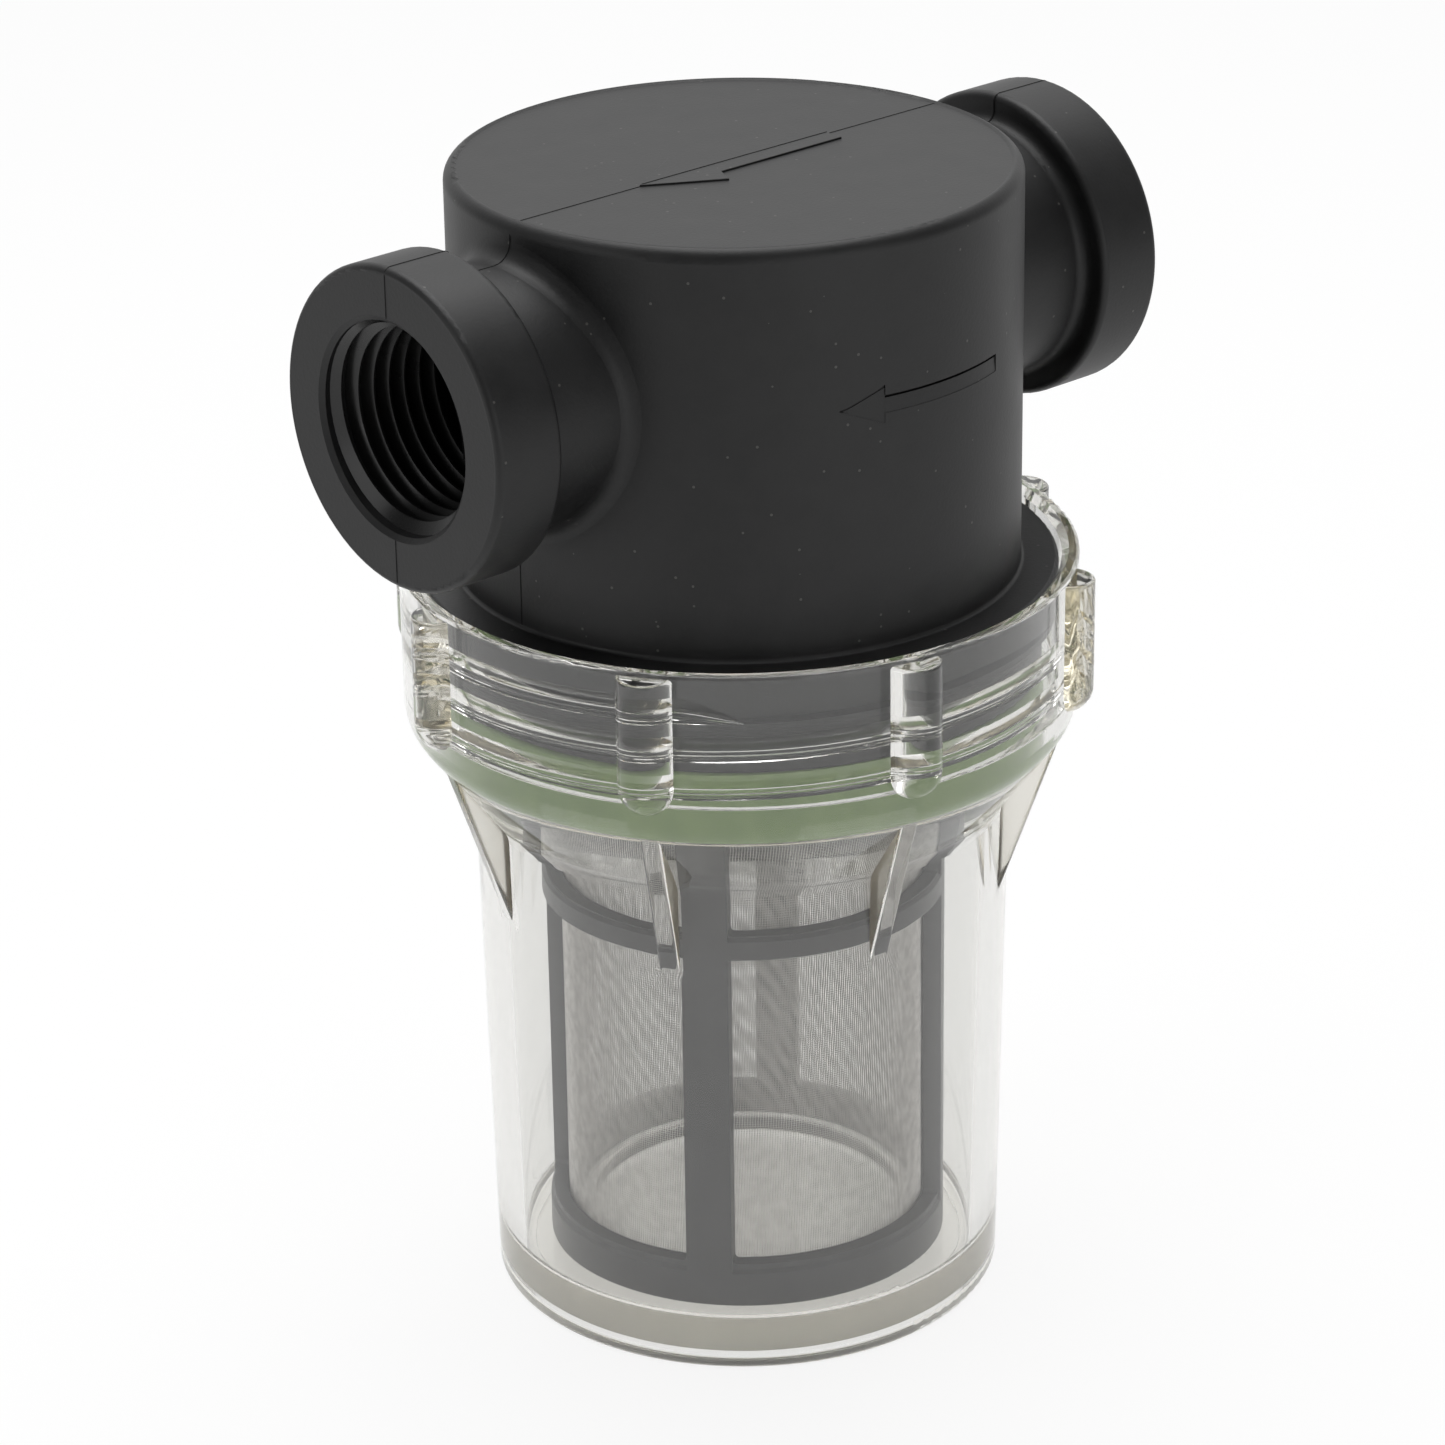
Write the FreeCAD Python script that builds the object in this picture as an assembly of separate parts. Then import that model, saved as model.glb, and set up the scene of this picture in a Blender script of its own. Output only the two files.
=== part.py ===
import FreeCAD, Part
import math
import os
from FreeCAD import Vector

# Inline hose filter: a moulded head with two female pipe ports, a clear screw-on
# bowl, a seal between them, and a mesh strainer in a moulded cage.
# Millimetres. +Z up, origin at the middle of the bowl's foot, ports along X.
# Flow goes in at the +X port, through the mesh from outside, and out at -X.

# Head
head_radius = 28.5
head_wall = 4.2
head_rise = 3.95
head_edge_round = 1.4
roof_thickness = 4.0
roof_round = 2.0
chamber_round = 1.0
band_step = 3.8
band_height = 2.9
skirt_length = 7.5
skirt_wall = 3.7
thread_depth = 1.6

# Ports, female 1/2 inch pipe thread
port_rise = 24.45
port_bore_radius = 10.6
port_bore_depth = 15.0
port_mouth_chamfer = 0.5
port_wall = 2.6
passage_step = 2.6
neck_length = 7.25
port_collar_step = 2.85
port_collar_length = 7.9
port_collar_round = 0.8
neck_collar_blend = 1.2
blend_margin = 0.55

# Spigot that the strainer slides over, and the duct from it to the outlet
spigot_overlap = 5.7
spigot_wall = 2.4
duct_wall = 2.4

# Bowl
shoulder_height = 55.0
shoulder_step = 6.84
shoulder_angle = 37.0
shoulder_top_round = 4.0
shoulder_bottom_round = 2.5
body_draft = 0.0183
bowl_wall = 2.8
floor_thickness = 4.7
floor_round = 1.2
foot_round = 0.8
foot_ring_width = 3.6
underside_recess = 0.9
ledge_drop = 1.38
seat_depth = 3.5
seat_step = 1.4
collar_wall = 1.8
rim_rise = 1.0
rim_bevel = 0.7
centring_ring_height = 2.2
centring_ring_wall = 1.6

# Grip lugs and gusset fins of the bowl, in line with each other
lug_count = 8
first_lug_angle = 212.6
lug_radius = 2.85
lug_stand = 2.3
lug_length = 14.4
lug_drop = 0.4
fin_thickness = 2.1
fin_rise = 7.6
fin_drop = 9.5

# Seal between the head's skirt and the bowl's ledge
seal_height = 6.6
seal_width = 3.4
seal_round = 0.5

# Strainer cage and mesh
cage_gap = 2.9
cage_wall = 1.8
cage_drop = 3.3
bottom_ring_height = 4.9
middle_ring_height = 2.5
top_ring_height = 3.2
ring_step = 0.35
step_share = 0.8
upper_window = 15.7
window_round = 0.5
rib_count = 4
first_rib_angle = 37.6
rib_width = 4.6
lip_height = 1.5
lip_width = 0.9
mesh_thickness = 0.25

# Clearances, the rounding of small edges, and how far cutters and joined pieces
# run past a face
screw_clearance = 0.3
slide_clearance = 0.4
mesh_clearance = 0.15
seal_side_clearance = 0.3
small_round = 0.4
overshoot = 1.0
overlap = 0.5
tolerance = 0.01

# Radii worked out from the sizes above, from the head outwards and then inwards
band_radius = head_radius + band_step
bowl_bore = band_radius + screw_clearance
collar_radius = bowl_bore + collar_wall
lug_reach = collar_radius + lug_stand
seat_bore = bowl_bore - seat_step
body_top_radius = collar_radius - shoulder_step
foot_radius = body_top_radius - body_draft * shoulder_height
skirt_radius = band_radius - thread_depth
skirt_bore = skirt_radius - skirt_wall
cavity_radius = head_radius - head_wall
cage_radius = foot_radius + body_draft * floor_thickness - bowl_wall - cage_gap
cage_bore = cage_radius - cage_wall
lip_bore = cage_bore - lip_width
mesh_radius = cage_bore - mesh_clearance
spigot_radius = lip_bore - slide_clearance
spigot_bore = spigot_radius - spigot_wall

# Heights, from the foot upwards
slope = math.tan(math.radians(shoulder_angle))
shoulder_top = shoulder_height + shoulder_step / slope
ledge_height = shoulder_top - ledge_drop
seat_top = ledge_height + seat_depth
skirt_bottom = ledge_height + seal_height
band_bottom = skirt_bottom + skirt_length
band_top = band_bottom + band_height
rim_top = band_top + rim_rise
lug_top = rim_top - lug_drop
lug_bottom = lug_top - lug_length
fin_top_height = shoulder_height + fin_rise
fin_tip_height = shoulder_height - fin_drop
cage_top = skirt_bottom - cage_drop
middle_ring_top = cage_top - top_ring_height - upper_window
spigot_bottom = cage_top - spigot_overlap
rings = [(floor_thickness, bottom_ring_height),
         (middle_ring_top - middle_ring_height, middle_ring_height),
         (cage_top - top_ring_height, top_ring_height)]

# Ports and the head's roof
neck_radius = port_bore_radius + port_wall
port_collar_radius = neck_radius + port_collar_step
passage_radius = port_bore_radius - passage_step
half_span = head_radius + neck_length + port_collar_length
port_axis_height = band_top + port_rise
head_top = port_axis_height + neck_radius + head_rise
roof_underside = head_top - roof_thickness
neck_blend = head_rise - head_edge_round - blend_margin


def outline(corners):
    # Closed wire in the XZ plane. A corner is (x, z) or (x, z, rounding).
    points = [Vector(corner[0], 0, corner[1]) for corner in corners]
    rounds = [corner[2] if len(corner) > 2 else 0.0 for corner in corners]
    count = len(points)
    starts = []
    ends = []
    arcs = []
    for index in range(count):
        here = points[index]
        before = (points[index - 1] - here).normalize()
        after = (points[(index + 1) % count] - here).normalize()
        half = before.getAngle(after) / 2
        reach = rounds[index] / math.tan(half)
        start = here + before * reach
        end = here + after * reach
        middle = None
        if rounds[index] > 0:
            inward = (before + after).normalize()
            middle = here + inward * (rounds[index] / math.sin(half) - rounds[index])
        starts.append(start)
        ends.append(end)
        arcs.append(middle)
    edges = []
    for index in range(count):
        if arcs[index] is not None:
            edges.append(Part.Arc(starts[index], arcs[index], ends[index]).toShape())
        following = starts[(index + 1) % count]
        if ends[index].distanceToPoint(following) > 1e-6:
            edges.append(Part.LineSegment(ends[index], following).toShape())
    return Part.Wire(edges)


def turned(corners):
    face = Part.Face(outline(corners))
    return face.revolve(Vector(0, 0, 0), Vector(0, 0, 1), 360)


def turned_on_x(corners):
    # Corners are (distance along X, radius, rounding), turned about the port axis.
    solid = turned([(corner[1], corner[0]) + tuple(corner[2:]) for corner in corners])
    solid.rotate(Vector(0, 0, 0), Vector(0, 1, 0), 90)
    solid.translate(Vector(0, 0, port_axis_height))
    return solid


def on_both_sides(solid):
    twin = solid.copy()
    twin.rotate(Vector(0, 0, 0), Vector(0, 0, 1), 180)
    return [solid, twin]


def is_neck_joint(edge):
    for point in edge.discretize(5):
        off_barrel = math.hypot(point.x, point.y) - head_radius
        off_neck = math.hypot(point.y, point.z - port_axis_height) - neck_radius
        if max(abs(off_barrel), abs(off_neck)) > tolerance:
            return False
    return True


def head_outside():
    shell = turned([
        (0, skirt_bottom),
        (skirt_radius, skirt_bottom, small_round),
        (skirt_radius, band_bottom),
        (band_radius, band_bottom),
        (band_radius, band_top, small_round),
        (head_radius, band_top, small_round),
        (head_radius, head_top, head_edge_round),
        (0, head_top),
    ])
    necks = on_both_sides(turned_on_x([
        (0, 0),
        (0, neck_radius),
        (half_span - port_collar_length / 2, neck_radius),
        (half_span - port_collar_length / 2, 0),
    ]))
    shell = shell.fuse(necks).removeSplitter()
    # The blend runs where each neck leaves the barrel of the head.
    joints = [edge for edge in shell.Edges if is_neck_joint(edge)]
    shell = shell.makeFillet(neck_blend, joints)
    collar_start = half_span - port_collar_length
    collars = on_both_sides(turned_on_x([
        (collar_start - neck_collar_blend - overlap, 0),
        (collar_start - neck_collar_blend - overlap, neck_radius),
        (collar_start, neck_radius, neck_collar_blend),
        (collar_start, port_collar_radius, port_collar_round),
        (half_span, port_collar_radius, port_collar_round),
        (half_span, 0),
    ]))
    return shell.fuse(collars).removeSplitter()


def head_inside():
    # The chamber round the spigot, wide in the skirt and narrower in the barrel.
    chamber = turned([
        (0, skirt_bottom - overshoot),
        (skirt_bore, skirt_bottom - overshoot),
        (skirt_bore, band_bottom),
        (cavity_radius, band_top, chamber_round),
        (cavity_radius, roof_underside, roof_round),
        (0, roof_underside),
    ])
    spigot = Part.makeCylinder(spigot_radius, roof_underside - spigot_bottom + overshoot,
                               Vector(0, 0, spigot_bottom))
    duct = Part.makeCylinder(passage_radius + duct_wall, cavity_radius + overshoot,
                             Vector(0, 0, port_axis_height), Vector(-1, 0, 0))
    return chamber.cut(spigot.fuse(duct))


def port_bore():
    # The drilled thread bore with its bevelled mouth, and the passage behind it.
    start = (cavity_radius + spigot_radius) / 2
    bottom = half_span - port_bore_depth
    mouth = port_bore_radius + port_mouth_chamfer
    return turned_on_x([
        (start, 0),
        (start, passage_radius),
        (bottom, passage_radius),
        (bottom, port_bore_radius),
        (half_span - port_mouth_chamfer, port_bore_radius),
        (half_span, mouth),
        (half_span + overshoot, mouth),
        (half_span + overshoot, 0),
    ])


def make_head():
    head = head_outside().cut(head_inside())
    spigot_hole = turned([
        (0, spigot_bottom - overshoot),
        (spigot_bore, spigot_bottom - overshoot),
        (spigot_bore, roof_underside, roof_round),
        (0, roof_underside),
    ])
    outlet_passage = Part.makeCylinder(passage_radius, half_span - port_bore_depth,
                                       Vector(0, 0, port_axis_height),
                                       Vector(-1, 0, 0))
    spigot = Part.makeCylinder(spigot_radius, skirt_bottom - spigot_bottom,
                               Vector(0, 0, spigot_bottom))
    head = head.fuse(spigot)
    return head.cut([spigot_hole, outlet_passage] + on_both_sides(port_bore()))


def body_radius(height):
    return foot_radius + body_draft * height


def bowl_shell():
    recess_radius = foot_radius - foot_ring_width
    return turned([
        (0, underside_recess),
        (recess_radius, underside_recess),
        (recess_radius, 0, small_round),
        (foot_radius, 0, foot_round),
        (body_top_radius, shoulder_height, shoulder_bottom_round),
        (collar_radius, shoulder_top, shoulder_top_round),
        (collar_radius, rim_top, small_round),
        (bowl_bore + rim_bevel, rim_top),
        (bowl_bore, rim_top - rim_bevel),
        (bowl_bore, seat_top, small_round),
        (seat_bore, seat_top, small_round),
        (seat_bore, ledge_height, small_round),
        (body_radius(ledge_height) - bowl_wall, ledge_height, small_round),
        (body_radius(floor_thickness) - bowl_wall, floor_thickness, floor_round),
        (0, floor_thickness),
    ])


def grip_lug():
    # An upright half-round bar on the collar with a domed lower end.
    centre = Vector(lug_reach - lug_radius, 0, lug_bottom + lug_radius)
    bar = Part.makeCylinder(lug_radius, lug_top - centre.z, centre)
    dome = Part.makeSphere(lug_radius, centre)
    bar = bar.fuse(dome).removeSplitter()
    crown = [edge for edge in bar.Edges if edge.BoundBox.ZMin > lug_top - tolerance]
    bar = bar.makeFillet(small_round, crown)
    inner_limit = (bowl_bore + collar_radius) / 2
    keep = Part.makeBox(lug_reach, lug_radius * 2, lug_length,
                        Vector(inner_limit, -lug_radius, lug_bottom))
    return bar.common(keep)


def gusset_fin():
    # A three-cornered web under each lug, from the shoulder down to the body.
    tip = Vector(body_radius(fin_tip_height), 0, fin_tip_height)
    top = Vector(body_top_radius + fin_rise * slope, 0, fin_top_height)
    lean = (top.x - tip.x) / (top.z - tip.z)
    root = tip.x - bowl_wall / 2
    inner_top = top.x - bowl_wall
    web = Part.Face(outline([
        (root, tip.z - (tip.x - root) / lean),
        (top.x, top.z),
        (inner_top, top.z),
        (root, top.z - (inner_top - root) / slope),
    ]))
    web.translate(Vector(0, -fin_thickness / 2, 0))
    fin = web.extrude(Vector(0, fin_thickness, 0))
    # The two edges along the sloping outer face are the longest.
    outer_edges = sorted(fin.Edges, key=lambda edge: edge.Length)[-2:]
    return fin.makeFillet(small_round, outer_edges)


def around(solid, count, first_angle):
    copies = []
    for index in range(count):
        copy = solid.copy()
        copy.rotate(Vector(0, 0, 0), Vector(0, 0, 1), first_angle + index * 360 / count)
        copies.append(copy)
    return copies


def make_bowl():
    grips = around(grip_lug(), lug_count, first_lug_angle)
    fins = around(gusset_fin(), lug_count, first_lug_angle)
    ring_outside = lip_bore - slide_clearance
    ring_top = floor_thickness + centring_ring_height
    centring_ring = turned([
        (ring_outside - centring_ring_wall, floor_thickness - overlap),
        (ring_outside, floor_thickness - overlap),
        (ring_outside, ring_top, small_round),
        (ring_outside - centring_ring_wall, ring_top, small_round),
    ])
    return bowl_shell().fuse(grips + fins + [centring_ring]).removeSplitter()


def make_seal():
    outside = seat_bore - seal_side_clearance
    inside = outside - seal_width
    return turned([
        (inside, ledge_height, seal_round),
        (outside, ledge_height, seal_round),
        (outside, skirt_bottom, seal_round),
        (inside, skirt_bottom, seal_round),
    ])


def cage_tube():
    # A tube with three collars that step in above their middle, and an inner lip
    # at each end that keeps the mesh in.
    waist = cage_radius - ring_step
    outside = []
    for base, height in rings:
        step_height = base + height * step_share
        if outside:
            outside += [(waist, base - ring_step), (cage_radius, base)]
        else:
            outside += [(cage_radius, base, small_round)]
        outside += [(cage_radius, step_height), (waist, step_height + ring_step)]
    return turned([(lip_bore, floor_thickness)] + outside + [
        (waist, cage_top, small_round),
        (lip_bore, cage_top),
        (lip_bore, cage_top - lip_height),
        (cage_bore, cage_top - lip_height),
        (cage_bore, floor_thickness + lip_height),
        (lip_bore, floor_thickness + lip_height),
    ])


def window_cutter(sill, lintel):
    # The space between two ribs that stand a quarter turn apart.
    side = rib_width / 2
    cutter = Part.makeBox(cage_radius, cage_radius, lintel - sill, Vector(side, side, sill))
    corners = [edge for edge in cutter.Edges
               if edge.BoundBox.ZLength < tolerance
               and min(edge.CenterOfMass.x, edge.CenterOfMass.y) < side + tolerance]
    return cutter.makeFillet(window_round, corners)


def make_cage():
    rib_height = cage_top - floor_thickness - 2 * overlap
    ring = Part.makeCylinder(cage_radius, rib_height, Vector(0, 0, floor_thickness + overlap))
    ring = ring.cut(Part.makeCylinder(cage_bore, cage_top))
    bar = Part.makeBox(cage_radius, rib_width, cage_top, Vector(0, -rib_width / 2, 0))
    ribs = around(ring.common(bar), rib_count, first_rib_angle)
    cutters = []
    for lower, upper in zip(rings, rings[1:]):
        cutter = window_cutter(lower[0] + lower[1], upper[0])
        cutters += around(cutter, rib_count, first_rib_angle)
    return cage_tube().cut(cutters).fuse(ribs).removeSplitter()


def make_mesh():
    length = cage_top - floor_thickness - 2 * lip_height
    foot = Vector(0, 0, floor_thickness + lip_height)
    outside = Part.makeCylinder(mesh_radius, length, foot)
    return outside.cut(Part.makeCylinder(mesh_radius - mesh_thickness, length, foot))


def save(name, shape):
    solids = shape.Solids
    print(name, "solids", len(solids), "valid", shape.isValid(),
          "volume", round(shape.Volume, 1), "box", shape.BoundBox)
    solids[0].exportStep("parts/" + name + ".step")


os.makedirs("parts", exist_ok=True)
save("head", make_head())
save("bowl", make_bowl())
save("bowl_seal", make_seal())
save("strainer_cage", make_cage())
save("strainer_mesh", make_mesh())
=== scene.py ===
import bpy
import bmesh
import numpy as np
from math import cos, radians, sin, tau
from mathutils import Matrix, Vector


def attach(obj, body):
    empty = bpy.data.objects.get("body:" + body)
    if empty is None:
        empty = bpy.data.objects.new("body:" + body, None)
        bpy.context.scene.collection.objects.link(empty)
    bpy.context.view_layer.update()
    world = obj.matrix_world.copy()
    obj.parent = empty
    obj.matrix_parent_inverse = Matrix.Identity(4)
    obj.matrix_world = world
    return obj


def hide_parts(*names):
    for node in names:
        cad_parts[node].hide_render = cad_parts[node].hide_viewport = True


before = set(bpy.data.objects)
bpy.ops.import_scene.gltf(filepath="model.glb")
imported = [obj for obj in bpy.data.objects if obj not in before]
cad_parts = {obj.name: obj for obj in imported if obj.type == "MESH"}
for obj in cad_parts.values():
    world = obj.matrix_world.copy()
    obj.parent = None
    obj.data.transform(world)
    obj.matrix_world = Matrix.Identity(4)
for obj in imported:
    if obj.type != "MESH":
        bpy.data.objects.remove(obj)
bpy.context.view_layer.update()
mm = 0.001


# Materials

def newMaterial(name):
    material = bpy.data.materials.new(name)
    material.use_nodes = True
    nodes = material.node_tree.nodes
    nodes.clear()
    output = nodes.new("ShaderNodeOutputMaterial")
    shader = nodes.new("ShaderNodeBsdfPrincipled")
    material.node_tree.links.new(shader.outputs["BSDF"], output.inputs["Surface"])
    return material, nodes, material.node_tree.links, shader, output


def mathNode(nodes, links, operation, first, second):
    # Each value is a number or a socket
    node = nodes.new("ShaderNodeMath")
    node.operation = operation
    for value, socket in zip((first, second), node.inputs):
        if isinstance(value, float):
            socket.default_value = value
        else:
            links.new(value, socket)
    return node.outputs[0]


mouldTexture = {"grainDetail": 3.0, "mottleScale": 240.0, "mottleDetail": 4.0, "speckSpan": 0.13,
                "toneSpan": (0.35, 0.65), "roughnessSpread": 0.05, "ior": 1.5}


def twoTone(nodes, links, source, look):
    # A soft change from the dark colour to the pale one
    ramp = nodes.new("ShaderNodeValToRGB")
    for index, color in enumerate((look["darkColor"], look["paleColor"])):
        ramp.color_ramp.elements[index].position = mouldTexture["toneSpan"][index]
        ramp.color_ramp.elements[index].color = (*color, 1)
    links.new(source, ramp.inputs["Fac"])
    return ramp.outputs["Color"]


def mouldGrainGroup():
    # Fine moulded texture with stray light specks, shared by every plastic and the rubber
    group = bpy.data.node_groups.new("mouldGrain", "ShaderNodeTree")
    for name, value in (("Grain Size", 0.0003), ("Speck Size", 0.0009), ("Speck Share", 0.1)):
        group.interface.new_socket(name, in_out="INPUT", socket_type="NodeSocketFloat").default_value = value
    for name in ("Height", "Mottle", "Specks"):
        group.interface.new_socket(name, in_out="OUTPUT", socket_type="NodeSocketFloat")
    nodes, links = group.nodes, group.links
    given = nodes.new("NodeGroupInput")
    result = nodes.new("NodeGroupOutput")
    where = nodes.new("ShaderNodeTexCoord")

    def scaleOf(socket):
        return mathNode(nodes, links, "DIVIDE", 1.0, given.outputs[socket])

    grain = nodes.new("ShaderNodeTexNoise")
    grain.inputs["Detail"].default_value = mouldTexture["grainDetail"]
    links.new(where.outputs["Object"], grain.inputs["Vector"])
    links.new(scaleOf("Grain Size"), grain.inputs["Scale"])
    links.new(grain.outputs["Fac"], result.inputs["Height"])

    mottle = nodes.new("ShaderNodeTexNoise")
    mottle.inputs["Scale"].default_value = mouldTexture["mottleScale"]
    mottle.inputs["Detail"].default_value = mouldTexture["mottleDetail"]
    links.new(where.outputs["Object"], mottle.inputs["Vector"])
    links.new(mottle.outputs["Fac"], result.inputs["Mottle"])

    cells = nodes.new("ShaderNodeTexVoronoi")
    links.new(where.outputs["Object"], cells.inputs["Vector"])
    links.new(scaleOf("Speck Size"), cells.inputs["Scale"])
    # A dot at the middle of a cell, and only in some cells
    near = mathNode(nodes, links, "LESS_THAN", cells.outputs["Distance"], mouldTexture["speckSpan"])
    chosen = nodes.new("ShaderNodeSeparateColor")
    links.new(cells.outputs["Color"], chosen.inputs[0])
    few = mathNode(nodes, links, "LESS_THAN", chosen.outputs[0], given.outputs["Speck Share"])
    links.new(mathNode(nodes, links, "MULTIPLY", near, few), result.inputs["Specks"])
    return group


mouldGrain = mouldGrainGroup()


def plastic(name, look):
    material, nodes, links, shader, output = newMaterial(name)
    grain = nodes.new("ShaderNodeGroup")
    grain.node_tree = mouldGrain
    grain.inputs["Grain Size"].default_value = look["grainSize"]
    grain.inputs["Speck Size"].default_value = look["speckSize"]
    grain.inputs["Speck Share"].default_value = look["speckShare"]

    tint = twoTone(nodes, links, grain.outputs["Mottle"], look)
    dusted = nodes.new("ShaderNodeMix")
    dusted.data_type = "RGBA"
    dusted.inputs[7].default_value = (*look["speckColor"], 1)
    links.new(grain.outputs["Specks"], dusted.inputs[0])
    links.new(tint, dusted.inputs[6])
    links.new(dusted.outputs[2], shader.inputs["Base Color"])

    rough = nodes.new("ShaderNodeMapRange")
    rough.inputs["To Min"].default_value = look["roughness"] - mouldTexture["roughnessSpread"]
    rough.inputs["To Max"].default_value = look["roughness"] + mouldTexture["roughnessSpread"]
    links.new(grain.outputs["Mottle"], rough.inputs["Value"])
    links.new(rough.outputs["Result"], shader.inputs["Roughness"])

    bump = nodes.new("ShaderNodeBump")
    bump.inputs["Strength"].default_value = look["bump"]
    bump.inputs["Distance"].default_value = look["grainDepth"]
    links.new(grain.outputs["Height"], bump.inputs["Height"])
    links.new(bump.outputs["Normal"], shader.inputs["Normal"])
    shader.inputs["IOR"].default_value = mouldTexture["ior"]
    shader.inputs["Specular IOR Level"].default_value = look["specular"]
    return material


headLook = {"darkColor": (0.007, 0.007, 0.0073), "paleColor": (0.011, 0.011, 0.0113),
            "speckColor": (0.06, 0.058, 0.055), "grainSize": 0.00035, "speckSize": 0.0011,
            "speckShare": 0.12, "roughness": 0.5, "bump": 0.35, "grainDepth": 0.00005, "specular": 0.4}
turnLook = dict(headLook, darkColor=(0.012, 0.012, 0.012), paleColor=(0.016, 0.016, 0.016),
                roughness=0.24, bump=0.1, speckShare=0.0)
# A darker, rougher black for the parting-line bead: painted shade, standing in for the dark line along the seam
seamPaintedShadeLook = dict(headLook, darkColor=(0.006, 0.006, 0.006), paleColor=(0.008, 0.008, 0.008),
                roughness=0.7, speckShare=0.0, specular=0.2)
cageLook = {"darkColor": (0.046, 0.046, 0.047), "paleColor": (0.062, 0.062, 0.064),
            "speckColor": (0.2, 0.2, 0.2), "grainSize": 0.0006, "speckSize": 0.004,
            "speckShare": 0.04, "roughness": 0.38, "bump": 0.15, "grainDepth": 0.00004, "specular": 0.5}
sealLook = {"darkColor": (0.19, 0.29, 0.095), "paleColor": (0.24, 0.345, 0.125),
            "speckColor": (0.35, 0.42, 0.3), "grainSize": 0.0008, "speckSize": 0.003,
            "speckShare": 0.08, "roughness": 0.5, "bump": 0.2, "grainDepth": 0.00004, "specular": 0.4}

blackMoulding = plastic("blackMoulding", headLook)
blackTurns = plastic("blackTurns", turnLook)
seamPaintedShade = plastic("seamPaintedShade", seamPaintedShadeLook)
greyMoulding = plastic("greyMoulding", cageLook)
greenRubber = plastic("greenRubber", sealLook)


clearLook = {"color": (0.87, 0.87, 0.862), "roughness": 0.015, "ior": 1.49, "clear": 0.972,
             "absorbColor": (0.93, 0.90, 0.80), "absorbDensity": 25.0, "lampShare": 0.9}
# The sides of the fins and the underside take a rough clear plastic that is paler and partly diffuse: a matt
# finish, and on the fins also a painted pale reflection for the light mirrored inside them
mattPaintedReflectionLook = dict(clearLook, color=(0.97, 0.955, 0.90), roughness=0.35, clear=0.86)


def clearPlastic(name, look):
    material, nodes, links, shader, output = newMaterial(name)
    shader.inputs["Base Color"].default_value = (*look["color"], 1)
    shader.inputs["Roughness"].default_value = look["roughness"]
    shader.inputs["IOR"].default_value = look["ior"]
    shader.inputs["Transmission Weight"].default_value = look["clear"]
    # Lamps and stray light pass the wall, so what stands in the bowl is lit
    path = nodes.new("ShaderNodeLightPath")
    clear = nodes.new("ShaderNodeBsdfTransparent")
    clear.inputs["Color"].default_value = (look["lampShare"],) * 3 + (1,)
    either = mathNode(nodes, links, "MAXIMUM", path.outputs["Is Shadow Ray"], path.outputs["Is Diffuse Ray"])
    mix = nodes.new("ShaderNodeMixShader")
    links.new(either, mix.inputs[0])
    links.new(shader.outputs["BSDF"], mix.inputs[1])
    links.new(clear.outputs["BSDF"], mix.inputs[2])
    links.new(mix.outputs["Shader"], output.inputs["Surface"])
    # The thick edges show a faint yellow
    absorb = nodes.new("ShaderNodeVolumeAbsorption")
    absorb.inputs["Color"].default_value = (*look["absorbColor"], 1)
    absorb.inputs["Density"].default_value = look["absorbDensity"]
    links.new(absorb.outputs["Volume"], output.inputs["Volume"])
    return material


def steelWire():
    look = {"darkColor": (0.72, 0.70, 0.68), "paleColor": (0.90, 0.88, 0.855), "roughness": 0.45,
            "metallic": 0.6, "tarnishScale": 900.0}
    material, nodes, links, shader, output = newMaterial("steelWire")
    where = nodes.new("ShaderNodeTexCoord")
    noise = nodes.new("ShaderNodeTexNoise")
    noise.inputs["Scale"].default_value = look["tarnishScale"]
    links.new(where.outputs["Object"], noise.inputs["Vector"])
    links.new(twoTone(nodes, links, noise.outputs["Fac"], look), shader.inputs["Base Color"])
    shader.inputs["Metallic"].default_value = look["metallic"]
    shader.inputs["Roughness"].default_value = look["roughness"]
    return material


clearBowl = clearPlastic("clearPlastic", clearLook)
mattPaintedReflectionBowl = clearPlastic("mattClearPlasticPaintedReflection", mattPaintedReflectionLook)
wireSteel = steelWire()
print("materials ready")


# Mesh helpers

pointsMeet = 1e-7       # metres; the points in model.glb are rounded more coarsely
framePointsMeet = 1e-6
sameSide = 0.5          # a stored normal further from its face than this belongs to another face
thinEnd = 0.02          # a ridge runs out to this share of its size, not to nothing


def addObject(name, mesh, material=None):
    piece = bpy.data.objects.new(name, mesh)
    bpy.context.scene.collection.objects.link(piece)
    if material is not None:
        mesh.materials.clear()
        mesh.materials.append(material)
    return piece


def smoothByAngle(mesh, angle):
    for polygon in mesh.polygons:
        polygon.use_smooth = True
    mesh.set_sharp_from_angle(angle=radians(angle))


def meshFrom(name, points, faces, smoothAngle=None):
    mesh = bpy.data.meshes.new(name)
    mesh.from_pydata([tuple(point) for point in points], [], faces)
    shape = bmesh.new()
    shape.from_mesh(mesh)
    bmesh.ops.remove_doubles(shape, verts=shape.verts, dist=pointsMeet)
    bmesh.ops.recalc_face_normals(shape, faces=shape.faces)
    shape.to_mesh(mesh)
    shape.free()
    if smoothAngle:
        smoothByAngle(mesh, smoothAngle)
    return mesh


def swept(name, rings, closed=False, smoothAngle=35):
    # Rings of points joined one after another, with a cap at each end unless they close
    count = len(rings[0])
    points = [point for ring in rings for point in ring]
    faces = []
    last = len(rings) if closed else len(rings) - 1
    for step in range(last):
        here = step * count
        there = ((step + 1) % len(rings)) * count
        for index in range(count):
            after = (index + 1) % count
            faces.append((here + index, here + after, there + after, there + index))
    if not closed:
        faces.append(tuple(range(count)))
        faces.append(tuple((len(rings) - 1) * count + index for index in range(count)))
    return meshFrom(name, points, faces, smoothAngle)


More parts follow.
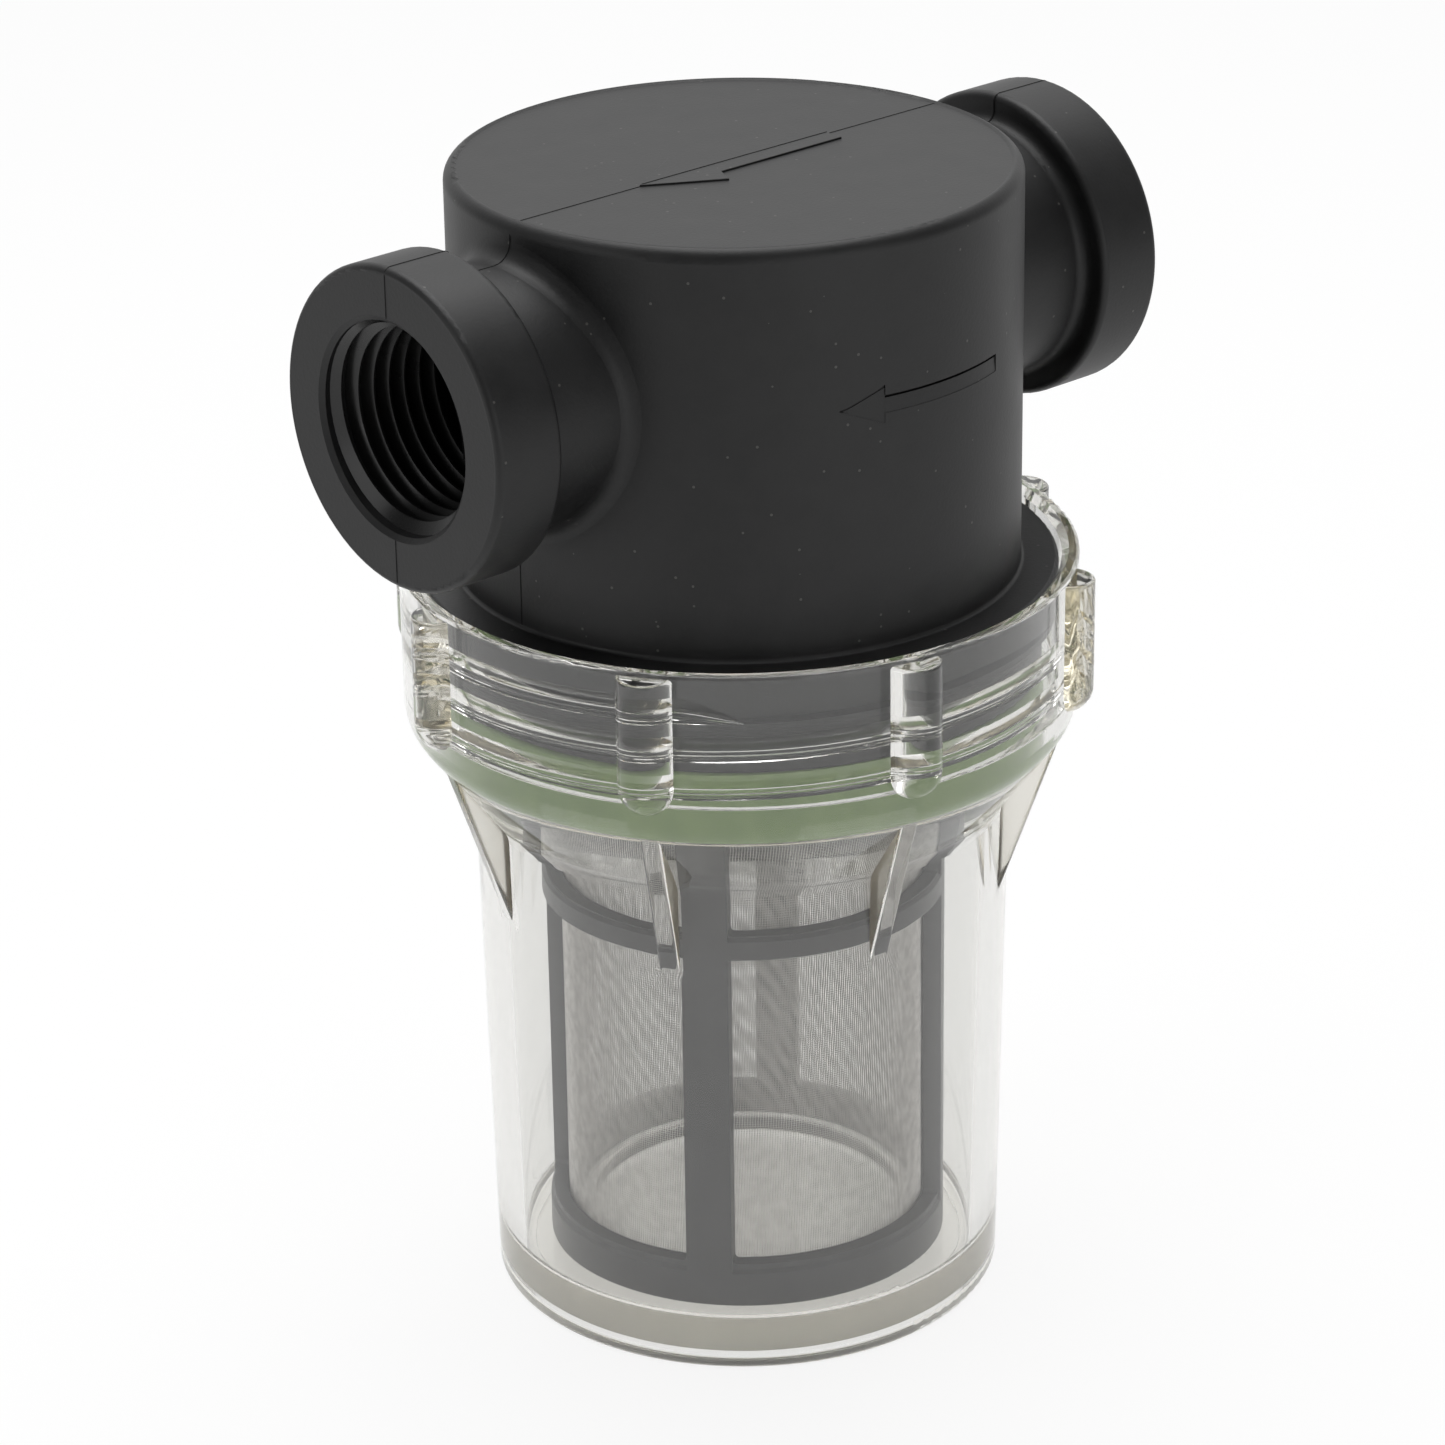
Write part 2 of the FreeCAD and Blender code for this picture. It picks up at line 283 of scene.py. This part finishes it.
def mergedCopy(node, name):
    # The CAD mesh with its points joined, and its exact normals kept as an attribute
    source = node.data
    shape = bmesh.new()
    shape.from_mesh(source)
    layer = shape.loops.layers.float_vector.new("cadNormal")
    normals = source.corner_normals
    index = 0
    for face in shape.faces:
        for corner in face.loops:
            corner[layer] = normals[index].vector
            index += 1
    bmesh.ops.remove_doubles(shape, verts=shape.verts, dist=framePointsMeet)
    mesh = bpy.data.meshes.new(name)
    shape.to_mesh(mesh)
    shape.free()
    if "custom_normal" in mesh.attributes:
        mesh.attributes.remove(mesh.attributes["custom_normal"])
    return mesh


def storeNormals(mesh):
    layer = mesh.attributes.new("cadNormal", "FLOAT_VECTOR", "CORNER")
    flat = [value for normal in mesh.corner_normals for value in normal.vector]
    layer.data.foreach_set("vector", flat)


def restoreNormals(mesh):
    # Faces that carry no stored normal keep their own
    layer = mesh.attributes["cadNormal"]
    values = np.empty(len(mesh.loops) * 3)
    layer.data.foreach_get("vector", values)
    values = values.reshape(-1, 3)
    for polygon in mesh.polygons:
        polygon.use_smooth = True
        for corner in polygon.loop_indices:
            if np.dot(values[corner], polygon.normal) < sameSide:
                values[corner] = polygon.normal
    mesh.attributes.remove(layer)
    mesh.normals_split_custom_set([tuple(value) for value in values])


def combined(name, base, others, operation):
    piece = addObject(name, base)
    helpers = []
    for index, other in enumerate(others):
        helper = addObject(name + "Tool" + str(index), other)
        modifier = piece.modifiers.new("join", "BOOLEAN")
        modifier.operation = operation
        modifier.solver = "EXACT"
        modifier.object = helper
        helpers.append(helper)
    bpy.context.view_layer.update()
    result = bpy.data.meshes.new_from_object(piece.evaluated_get(bpy.context.evaluated_depsgraph_get()))
    result.name = name
    bpy.data.objects.remove(piece)
    for helper in helpers:
        bpy.data.objects.remove(helper)
    return result


def helix(radius, angle, height):
    return Vector((radius * cos(angle), radius * sin(angle), height))


# Head: the CAD solid with the flow arrow sunk into its side

head = {"radius": 28.5, "top": 121.297, "topFace": 121.05, "bandTop": 79.7, "edgeRound": 1.4,
        "portHeight": 104.15, "neckRadius": 13.2, "neckBlend": 2.0,
        "collarRadius": 16.05, "collarStart": 35.75, "collarBlend": 1.2, "collarRound": 0.8,
        "cadFace": 43.65, "faceX": 43.6, "nearFace": 0.02, "mouthRadius": 11.1}

# The recess is deepest along its upper edge
sideArrow = {"tip": 248.0, "barb": 257.8, "tail": 289.9, "height": 104.6,
             "headHalf": 1.95, "shaftHalf": 0.9, "lowDepth": 0.05, "highDepth": 0.13,
             "grooveWidth": 0.3, "shaftGroove": 0.5, "headGroove": 0.22,
             "tipHalf": 0.02, "barbStep": 0.05, "headSteps": 10, "shaftSteps": 32, "outside": 1.0}


def sideArrowCutter():
    columns = []
    for step in range(sideArrow["headSteps"] + 1):
        share = step / sideArrow["headSteps"]
        angle = sideArrow["tip"] + (sideArrow["barb"] - sideArrow["tip"]) * share
        half = max(sideArrow["headHalf"] * share, sideArrow["tipHalf"])
        columns.append((angle, half, sideArrow["headGroove"]))
    shaftAngle = sideArrow["tail"] - sideArrow["barb"]
    for step in range(sideArrow["shaftSteps"] + 1):
        angle = sideArrow["barb"] + shaftAngle * step / sideArrow["shaftSteps"]
        columns.append((angle + sideArrow["barbStep"], sideArrow["shaftHalf"], sideArrow["shaftGroove"]))
    shallow = head["radius"] - sideArrow["lowDepth"]
    deep = head["radius"] - sideArrow["highDepth"]
    outer = head["radius"] + sideArrow["outside"]
    rings = []
    for angle, half, grooveDepth in columns:
        turn = radians(angle)
        low, high = sideArrow["height"] - half, sideArrow["height"] + half
        groove = head["radius"] - grooveDepth
        upper = high - min(sideArrow["grooveWidth"], half)
        rings.append([helix(shallow, turn, low) * mm, helix(deep, turn, upper) * mm,
                      helix(groove, turn, upper) * mm, helix(groove, turn, high) * mm,
                      helix(outer, turn, high) * mm, helix(outer, turn, low) * mm])
    mesh = swept("sideArrowCutter", rings, smoothAngle=None)
    mesh.attributes.new("cadNormal", "FLOAT_VECTOR", "CORNER")
    return mesh


def pressFaces(mesh):
    # The top and the port faces sit a little deeper, so what stands on them stays inside the part's size
    for vertex in mesh.vertices:
        if vertex.co.z > (head["top"] - head["nearFace"]) * mm:
            vertex.co.z = head["topFace"] * mm
        if abs(vertex.co.x) > (head["cadFace"] - head["nearFace"]) * mm:
            vertex.co.x = head["faceX"] * mm if vertex.co.x > 0 else -head["faceX"] * mm


headMesh = combined("headBody", mergedCopy(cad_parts["head"], "headBody"),
                    [sideArrowCutter()], "DIFFERENCE")
restoreNormals(headMesh)
pressFaces(headMesh)
headBody = addObject("headBody", headMesh, blackMoulding)
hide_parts("head")
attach(headBody, "fixed_head")
print("head ready", len(headMesh.polygons))


# Arrow raised on the top of the head

topArrow = {"tip": -12.2, "barb": -4.6, "tail": 12.4, "headHalf": 4.5, "shaftHalf": 2.2,
            "notch": 1.0, "height": 0.2, "sunk": 0.2, "bevel": 0.06, "seamRise": 0.05, "seamTip": 0.3}


def makeTopArrow():
    neck = topArrow["barb"] + topArrow["notch"]
    outline = [(topArrow["tip"], 0), (topArrow["barb"], -topArrow["headHalf"]), (neck, -topArrow["shaftHalf"]),
               (topArrow["tail"], -topArrow["shaftHalf"]), (topArrow["tail"], topArrow["shaftHalf"]),
               (neck, topArrow["shaftHalf"]), (topArrow["barb"], topArrow["headHalf"])]
    rings = [[Vector((x, y, z)) * mm for x, y in outline]
             for z in (head["topFace"] - topArrow["sunk"], head["topFace"] + topArrow["height"])]
    piece = addObject("topArrow", swept("topArrow", rings), blackMoulding)
    bevel = piece.modifiers.new("softEdges", "BEVEL")
    bevel.width = topArrow["bevel"] * mm
    bevel.segments = 2
    return piece


arrowOnTop = makeTopArrow()
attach(arrowOnTop, "fixed_head")


# Parting line of the head's mould, a fine bead in the plane of the ports; its darker black is painted shade,
# for the dark line that so small a bead can't shade by itself

partingLine = {"halfWidth": 0.075, "stand": 0.045, "sunk": 0.06, "overBand": 0.3}


def arcPoints(centre, radius, start, end, steps=6):
    return [(centre[0] + radius * cos(radians(start + (end - start) * step / steps)),
             centre[1] + radius * sin(radians(start + (end - start) * step / steps)))
            for step in range(steps + 1)]


def upperSeam():
    # From the bore of the far port over the top of the head, in X and Z
    axis = head["portHeight"]
    neckTop = axis + head["neckRadius"]
    ringTop = axis + head["collarRadius"]
    ringRound, ringBlend = head["collarRound"], head["collarBlend"]
    face, start = head["faceX"], head["collarStart"]
    path = [(face, axis + head["mouthRadius"]), (face, ringTop - ringRound)]
    path += arcPoints((face - ringRound, ringTop - ringRound), ringRound, 0, 90)
    path += arcPoints((start + ringRound, ringTop - ringRound), ringRound, 90, 180)
    path += arcPoints((start - ringBlend, neckTop + ringBlend), ringBlend, 0, -90)
    blend = head["neckBlend"]
    path += arcPoints((head["radius"] + blend, neckTop + blend), blend, 270, 180)
    edge = head["edgeRound"]
    path += arcPoints((head["radius"] - edge, head["topFace"] - edge), edge, 0, 90)
    onArrow = head["topFace"] + topArrow["height"]
    across = [(topArrow["tail"] + topArrow["seamRise"], head["topFace"]), (topArrow["tail"], onArrow),
              (topArrow["tip"] + topArrow["seamTip"], onArrow), (topArrow["tip"], head["topFace"])]
    return path + across + [(-x, z) for x, z in reversed(path)]


def lowerSeam(side):
    axis = head["portHeight"]
    neckBottom = axis - head["neckRadius"]
    ringBottom = axis - head["collarRadius"]
    ringRound, ringBlend = head["collarRound"], head["collarBlend"]
    face, start, blend = head["faceX"], head["collarStart"], head["neckBlend"]
    path = [(face, axis - head["mouthRadius"]), (face, ringBottom + ringRound)]
    path += arcPoints((face - ringRound, ringBottom + ringRound), ringRound, 0, -90)
    path += arcPoints((start + ringRound, ringBottom + ringRound), ringRound, -90, -180)
    path += arcPoints((start - ringBlend, neckBottom - ringBlend), ringBlend, 0, 90)
    path += arcPoints((head["radius"] + blend, neckBottom - blend), blend, 90, 180)
    path += [(head["radius"], head["bandTop"] + partingLine["overBand"])]
    return [(side * x, z) for x, z in path]


def bead(path):
    rings = []
    for index, (x, z) in enumerate(path):
        before = path[max(index - 1, 0)]
        after = path[min(index + 1, len(path) - 1)]
        along = Vector((after[0] - before[0], 0, after[1] - before[1])).normalized()
        out = Vector((-along.z, 0, along.x))
        if out.dot(Vector((x, 0, z - head["portHeight"]))) < 0:
            out = -out
        here = Vector((x, 0, z))
        side = Vector((0, partingLine["halfWidth"], 0))
        rings.append([(here - side - out * partingLine["sunk"]) * mm,
                      (here - side * 0.5 + out * partingLine["stand"]) * mm,
                      (here + side * 0.5 + out * partingLine["stand"]) * mm,
                      (here + side - out * partingLine["sunk"]) * mm])
    return rings


for name, path in (("seamOver", upperSeam()), ("seamUnderInlet", lowerSeam(1)),
                   ("seamUnderOutlet", lowerSeam(-1))):
    seam = addObject(name, swept(name, bead(path)), seamPaintedShade)
    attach(seam, "fixed_head")


# Pipe threads in the two ports

pipeThread = {"pitch": 1.814, "firstTurn": 0.9, "lastTurn": 14.3, "root": 10.72, "crest": 9.5,
              "taper": 0.03125, "baseHalf": 0.86, "crestHalf": 0.12, "steps": 72, "runOuts": 12}


def pipeTurns(side):
    rings = []
    length = pipeThread["lastTurn"] - pipeThread["firstTurn"]
    count = int(pipeThread["steps"] * length / pipeThread["pitch"])
    for step in range(count + 1):
        share = step / count
        depth = pipeThread["firstTurn"] + length * share
        angle = tau * length * share / pipeThread["pitch"]
        # The turns run out at both ends, each over one part of all the run-outs that would fit
        fade = min(1.0, share * pipeThread["runOuts"], (1 - share) * pipeThread["runOuts"])
        crest = pipeThread["crest"] - pipeThread["taper"] * depth
        crest = pipeThread["root"] - (pipeThread["root"] - crest) * max(fade, thinEnd)
        ring = []
        for offset, radius in ((-pipeThread["baseHalf"], pipeThread["root"]),
                               (-pipeThread["crestHalf"], crest),
                               (pipeThread["crestHalf"], crest),
                               (pipeThread["baseHalf"], pipeThread["root"])):
            x = side * (head["faceX"] - depth - offset)
            ring.append(Vector((x, side * radius * cos(angle), head["portHeight"] + radius * sin(angle))) * mm)
        rings.append(ring)
    return rings


for name, side in (("inletTurns", 1), ("outletTurns", -1)):
    turns = addObject(name, swept(name, pipeTurns(side)), blackTurns)
    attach(turns, "fixed_head")
print("ports ready")


# Coarse thread that holds the bowl: a ridge inside the collar, and one on the skirt between its turns

bowlThread = {"pitch": 4.0, "steps": 144, "runOut": 9.5, "runOutCurve": 0.75, "sunk": 0.35,
              "top": 228.7, "topHeight": 75.36, "smoothAngle": 12}
# Buttress sections as (depth, rise) from the root of the steep flank, which carries the
# load, over the chamfered crest to the root of the long flank
collarThread = {"wall": 32.6, "outward": -1, "turns": 2.2,
                "section": [(0.0, 0.0), (0.86, 0.25), (0.86, 0.42), (0.70, 0.60), (0.68, 0.95), (0.50, 1.12),
                            (0.22, 1.88), (0.0, 2.69)]}
skirtThread = {"wall": 30.7, "outward": 1, "turns": 1.0, "gap": 0.2, "bottom": 69.5,
               "section": [(0.0, 0.0), (1.2, -0.1), (1.2, -0.75), (0.0, -2.3)]}


def coarseRidge(name, thread, startAngle, startHeight, rising):
    rings = []
    count = int(bowlThread["steps"] * thread["turns"])
    section = thread["section"]
    # Both flanks go on into the wall at the slope that they have at their root
    ends = []
    for root, above in ((section[0], section[1]), (section[-1], section[-2])):
        share = bowlThread["sunk"] / (above[0] - root[0])
        ends.append((-bowlThread["sunk"], root[1] - (above[1] - root[1]) * share))
    for step in range(count + 1):
        turned = thread["turns"] * step / count
        toEnd = min(turned, thread["turns"] - turned) * 360 / bowlThread["runOut"]
        fade = max(min(1.0, toEnd), thinEnd) ** bowlThread["runOutCurve"]
        turned *= 1 if rising else -1
        angle = radians(startAngle) + tau * turned
        height = startHeight + bowlThread["pitch"] * turned
        ring = [helix(thread["wall"] + thread["outward"] * depth * (fade if depth > 0 else 1), angle,
                      height + rise * fade) * mm for depth, rise in [ends[0]] + section + [ends[1]]]
        rings.append(ring)
    return swept(name, rings, smoothAngle=bowlThread["smoothAngle"])


collarRidge = coarseRidge("collarRidge", collarThread, bowlThread["top"], bowlThread["topHeight"], False)
storeNormals(collarRidge)
bowlMesh = combined("clearBowl", mergedCopy(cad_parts["bowl"], "clearBowl"), [collarRidge], "UNION")
restoreNormals(bowlMesh)
bowlBody = addObject("clearBowl", bowlMesh, clearBowl)
# The second material is matt and paler, and paints a pale reflection on the fin sides
bowlMesh.materials.append(mattPaintedReflectionBowl)

fins = {"first": 212.6, "count": 8, "halfThickness": 1.05, "near": 0.1, "straightAcross": 0.9}
underside = {"below": 1.0, "facingDown": -0.7}


def mattPaintedReflectionFaces(mesh):
    # The fins' side faces and the underside take the matt plastic, whose paler colour paints a pale reflection
    # on the fins
    for polygon in mesh.polygons:
        centre, facing = polygon.center / mm, polygon.normal
        if facing.z < underside["facingDown"] and centre.z < underside["below"]:
            polygon.material_index = 1
        for index in range(fins["count"]):
            angle = radians(fins["first"]) + tau * index / fins["count"]
            along, across = Vector((cos(angle), sin(angle), 0)), Vector((-sin(angle), cos(angle), 0))
            onSide = abs(abs(centre.dot(across)) - fins["halfThickness"]) < fins["near"]
            if onSide and centre.dot(along) > 0 and abs(facing.dot(across)) > fins["straightAcross"]:
                polygon.material_index = 1


mattPaintedReflectionFaces(bowlMesh)
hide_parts("bowl")
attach(bowlBody, "screw_bowl")
print("bowl ready", len(bowlMesh.polygons))

# The skirt's ridge lies just under the collar's and carries it
skirtStart = skirtThread["bottom"] - skirtThread["section"][-1][1] + 2 * bowlThread["sunk"]
turnsUp = (skirtStart + skirtThread["gap"] - bowlThread["topHeight"]) / bowlThread["pitch"]
skirtAngle = bowlThread["top"] + 360 * turnsUp
skirtMesh = coarseRidge("skirtRidge", skirtThread, skirtAngle, skirtStart, True)
skirtRidge = addObject("skirtRidge", skirtMesh, blackMoulding)
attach(skirtRidge, "fixed_head")


# Woven steel mesh: hoops and upright wires

weave = {"radius": 18.83, "bottom": 6.3, "top": 64.4, "pitch": 0.26, "wireRadius": 0.052, "hoopSides": 96,
         "lean": 3.0, "wireSides": 3}


def wireMeshTree():
    tree = bpy.data.node_groups.new("wovenTube", "GeometryNodeTree")
    tree.interface.new_socket("Geometry", in_out="OUTPUT", socket_type="NodeSocketGeometry")
    for name, kind, value in (("Radius", "NodeSocketFloat", weave["radius"] * mm),
                              ("Wire Radius", "NodeSocketFloat", weave["wireRadius"] * mm),
                              ("Bottom", "NodeSocketFloat", weave["bottom"] * mm),
                              ("Length", "NodeSocketFloat", (weave["top"] - weave["bottom"]) * mm),
                              ("Hoops", "NodeSocketInt", None), ("Uprights", "NodeSocketInt", None),
                              ("Hoop Sides", "NodeSocketInt", weave["hoopSides"]),
                              ("Lean", "NodeSocketFloat", weave["lean"] * mm),
                              ("Material", "NodeSocketMaterial", None)):
        socket = tree.interface.new_socket(name, in_out="INPUT", socket_type=kind)
        if value is not None:
            socket.default_value = value
    nodes, links = tree.nodes, tree.links
    given = nodes.new("NodeGroupInput")
    result = nodes.new("NodeGroupOutput")

    def place(x, y, z):
        combine = nodes.new("ShaderNodeCombineXYZ")
        for index, source in enumerate((x, y, z)):
            if source is not None:
                links.new(source, combine.inputs[index])
        return combine.outputs[0]

    section = nodes.new("GeometryNodeCurvePrimitiveCircle")
    section.inputs["Resolution"].default_value = weave["wireSides"]
    links.new(given.outputs["Wire Radius"], section.inputs["Radius"])

    hoop = nodes.new("GeometryNodeCurvePrimitiveCircle")
    links.new(given.outputs["Hoop Sides"], hoop.inputs["Resolution"])
    links.new(given.outputs["Radius"], hoop.inputs["Radius"])
    hoopMesh = nodes.new("GeometryNodeCurveToMesh")
    links.new(hoop.outputs["Curve"], hoopMesh.inputs["Curve"])
    links.new(section.outputs["Curve"], hoopMesh.inputs["Profile Curve"])
    stack = nodes.new("GeometryNodeMeshLine")
    stack.mode = "END_POINTS"
    stack.count_mode = "TOTAL"
    links.new(given.outputs["Hoops"], stack.inputs["Count"])
    links.new(place(None, None, given.outputs["Bottom"]), stack.inputs["Start Location"])
    top = mathNode(nodes, links, "ADD", given.outputs["Bottom"], given.outputs["Length"])
    links.new(place(None, None, top), stack.inputs["Offset"])
    hoops = nodes.new("GeometryNodeInstanceOnPoints")
    links.new(stack.outputs["Mesh"], hoops.inputs["Points"])
    links.new(hoopMesh.outputs["Mesh"], hoops.inputs["Instance"])

    # The weave runs a little askew round the tube
    upright = nodes.new("GeometryNodeCurvePrimitiveLine")
    ahead = mathNode(nodes, links, "MULTIPLY", given.outputs["Lean"], 0.5)
    behind = mathNode(nodes, links, "MULTIPLY", given.outputs["Lean"], -0.5)
    links.new(place(None, behind, given.outputs["Bottom"]), upright.inputs["Start"])
    links.new(place(None, ahead, top), upright.inputs["End"])
    uprightMesh = nodes.new("GeometryNodeCurveToMesh")
    links.new(upright.outputs["Curve"], uprightMesh.inputs["Curve"])
    links.new(section.outputs["Curve"], uprightMesh.inputs["Profile Curve"])
    uprightMesh.inputs["Fill Caps"].default_value = True
    # The uprights touch the hoops from outside
    outside = mathNode(nodes, links, "ADD", given.outputs["Radius"], given.outputs["Wire Radius"])
    circle = nodes.new("GeometryNodeMeshCircle")
    links.new(given.outputs["Uprights"], circle.inputs["Vertices"])
    links.new(outside, circle.inputs["Radius"])
    uprights = nodes.new("GeometryNodeInstanceOnPoints")
    links.new(circle.outputs["Mesh"], uprights.inputs["Points"])
    links.new(uprightMesh.outputs["Mesh"], uprights.inputs["Instance"])
    outwards = nodes.new("FunctionNodeAlignRotationToVector")
    outwards.axis = "X"
    links.new(nodes.new("GeometryNodeInputPosition").outputs[0], outwards.inputs["Vector"])
    links.new(outwards.outputs["Rotation"], uprights.inputs["Rotation"])

    both = nodes.new("GeometryNodeJoinGeometry")
    links.new(hoops.outputs["Instances"], both.inputs[0])
    links.new(uprights.outputs["Instances"], both.inputs[0])
    real = nodes.new("GeometryNodeRealizeInstances")
    links.new(both.outputs[0], real.inputs[0])
    dressed = nodes.new("GeometryNodeSetMaterial")
    links.new(real.outputs[0], dressed.inputs["Geometry"])
    links.new(given.outputs["Material"], dressed.inputs["Material"])
    links.new(dressed.outputs[0], result.inputs[0])
    return tree


def grown(name, tree, values):
    # A plain mesh from a node tree, with its inputs set by their identifiers
    base = addObject(name + "Base", bpy.data.meshes.new(name + "Base"))
    modifier = base.modifiers.new("grow", "NODES")
    modifier.node_group = tree
    for item in tree.interface.items_tree:
        if item.in_out == "INPUT" and item.name in values:
            modifier[item.identifier] = values[item.name]
    bpy.context.view_layer.update()
    result = bpy.data.meshes.new_from_object(base.evaluated_get(bpy.context.evaluated_depsgraph_get()))
    result.name = name
    base.modifiers.clear()
    bpy.data.objects.remove(base)
    return result


wireTube = grown("wovenMesh", wireMeshTree(), {
    "Hoops": int(round((weave["top"] - weave["bottom"]) / weave["pitch"])),
    "Uprights": int(round(tau * weave["radius"] / weave["pitch"])), "Material": wireSteel})
wovenMesh = addObject("wovenMesh", wireTube, wireSteel)
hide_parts("strainer_mesh")
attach(wovenMesh, "strainer")
print("mesh ready", len(wireTube.polygons))


# CAD pieces that keep their shape

for node, material in (("bowl_seal", greenRubber), ("strainer_cage", greyMoulding)):
    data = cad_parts[node].data
    for index in range(len(data.materials)):
        data.materials[index] = material


# Floor, light and camera

stage = {"floorSize": 4.0, "floorDrop": 0.15, "shadowShare": 0.12, "floorColor": 0.92,
         "floorRoughness": 0.8, "floorSpecular": 0.2, "middle": (0, 0, 0.07),
         "frontLight": 0.075, "backLight": 1.0, "away": (0.666, 0.745, 0.0), "awaySpan": (0.0, 0.95),
         "skyLight": 0.14, "skySpan": (0.3, 0.9)}
# Each lamp's place, size and power
lamps = {"topLamp": ((0.08, 0.12, 0.75), (0.6, 0.6), 4.6),
         "rightLamp": ((-0.02, -0.65, 0.14), (0.5, 0.5), 1.0),
         "leftLamp": ((-0.64, 0.08, 0.22), (0.4, 0.5), 0.85)}


def whiteRay(nodes, links):
    # 1 for what the camera sees, straight, mirrored or through clear plastic
    path = nodes.new("ShaderNodeLightPath")
    seen = mathNode(nodes, links, "MAXIMUM", path.outputs["Is Camera Ray"], path.outputs["Is Transmission Ray"])
    return mathNode(nodes, links, "MAXIMUM", seen, path.outputs["Is Glossy Ray"])


def makeWorld():
    world = bpy.data.worlds.new("studio")
    bpy.context.scene.world = world
    world.use_nodes = True
    nodes, links = world.node_tree.nodes, world.node_tree.links
    nodes.clear()
    output = nodes.new("ShaderNodeOutputWorld")
    light = nodes.new("ShaderNodeBackground")
    # The room is dark on the side that the photo was taken from, and white behind the filter
    where = nodes.new("ShaderNodeTexCoord")
    strengths = []
    for way, span, low, high in ((stage["away"], stage["awaySpan"], stage["frontLight"], stage["backLight"]),
                                 ((0, 0, 1), stage["skySpan"], 0.0, stage["skyLight"])):
        facing = nodes.new("ShaderNodeVectorMath")
        facing.operation = "DOT_PRODUCT"
        facing.inputs[1].default_value = way
        links.new(where.outputs["Generated"], facing.inputs[0])
        spread = nodes.new("ShaderNodeMapRange")
        spread.interpolation_type = "SMOOTHSTEP"
        spread.inputs["From Min"].default_value, spread.inputs["From Max"].default_value = span
        spread.inputs["To Min"].default_value = low
        spread.inputs["To Max"].default_value = high
        links.new(facing.outputs["Value"], spread.inputs["Value"])
        strengths.append(spread.outputs["Result"])
    links.new(mathNode(nodes, links, "ADD", *strengths), light.inputs["Strength"])
    seen = nodes.new("ShaderNodeBackground")
    seen.inputs["Strength"].default_value = 1.0
    mix = nodes.new("ShaderNodeMixShader")
    path = nodes.new("ShaderNodeLightPath")
    either = mathNode(nodes, links, "MAXIMUM", path.outputs["Is Camera Ray"],
                      path.outputs["Is Transmission Ray"])
    links.new(either, mix.inputs[0])
    light.inputs["Color"].default_value = (1, 1, 1, 1)
    seen.inputs["Color"].default_value = (1, 1, 1, 1)
    links.new(light.outputs[0], mix.inputs[1])
    links.new(seen.outputs[0], mix.inputs[2])
    links.new(mix.outputs[0], output.inputs["Surface"])


def makeFloor():
    half = stage["floorSize"] / 2
    level = -stage["floorDrop"] * mm
    corners = [(-half, -half, level), (half, -half, level), (half, half, level), (-half, half, level)]
    data = meshFrom("floor", corners, [(0, 1, 2, 3)])
    material, nodes, links, shader, output = newMaterial("paleFloor")
    shader.inputs["Base Color"].default_value = (stage["floorColor"],) * 3 + (1,)
    shader.inputs["Roughness"].default_value = stage["floorRoughness"]
    shader.inputs["Specular IOR Level"].default_value = stage["floorSpecular"]
    glow = nodes.new("ShaderNodeEmission")
    glow.inputs["Strength"].default_value = 1.0
    # What is left of the floor's own shading keeps the object's shadow
    share = mathNode(nodes, links, "MULTIPLY", whiteRay(nodes, links), 1 - stage["shadowShare"])
    mix = nodes.new("ShaderNodeMixShader")
    links.new(share, mix.inputs[0])
    links.new(shader.outputs["BSDF"], mix.inputs[1])
    links.new(glow.outputs[0], mix.inputs[2])
    links.new(mix.outputs[0], output.inputs["Surface"])
    floor = addObject("floor", data, material)


def areaLamp(name, place, target, size, power):
    data = bpy.data.lights.new(name, "AREA")
    data.shape = "RECTANGLE"
    data.size, data.size_y = size
    data.energy = power
    lamp = bpy.data.objects.new(name, data)
    bpy.context.scene.collection.objects.link(lamp)
    lamp.location = place
    lamp.rotation_euler = (Vector(target) - Vector(place)).to_track_quat("-Z", "Y").to_euler()


makeWorld()
makeFloor()
for name, (place, size, power) in lamps.items():
    areaLamp(name, place, stage["middle"], size, power)

camera = {"place": (-0.3150525, -0.3535311, 0.2700388), "right": (0.745244, -0.666657, -0.013405),
          "up": (0.278484, 0.292921, 0.914682), "lens": 125.64, "sensor": 36.0, "nearest": 0.01,
          "bounces": 24}
eye = bpy.data.objects.new("camera", bpy.data.cameras.new("camera"))
bpy.context.scene.collection.objects.link(eye)
eye.data.sensor_width = camera["sensor"]
eye.data.lens = camera["lens"]
eye.data.clip_start = camera["nearest"]
rightWay, upWay = Vector(camera["right"]), Vector(camera["up"])
turned = Matrix((rightWay, upWay, rightWay.cross(upWay))).transposed().to_4x4()
eye.matrix_world = Matrix.Translation(camera["place"]) @ turned
bpy.context.scene.camera = eye
bpy.context.scene.view_settings.view_transform = "Standard"
# Light is mirrored many times inside the clear bowl before it leaves
cycles = bpy.context.scene.cycles
cycles.max_bounces = cycles.glossy_bounces = cycles.transmission_bounces = camera["bounces"]
print("stage ready")
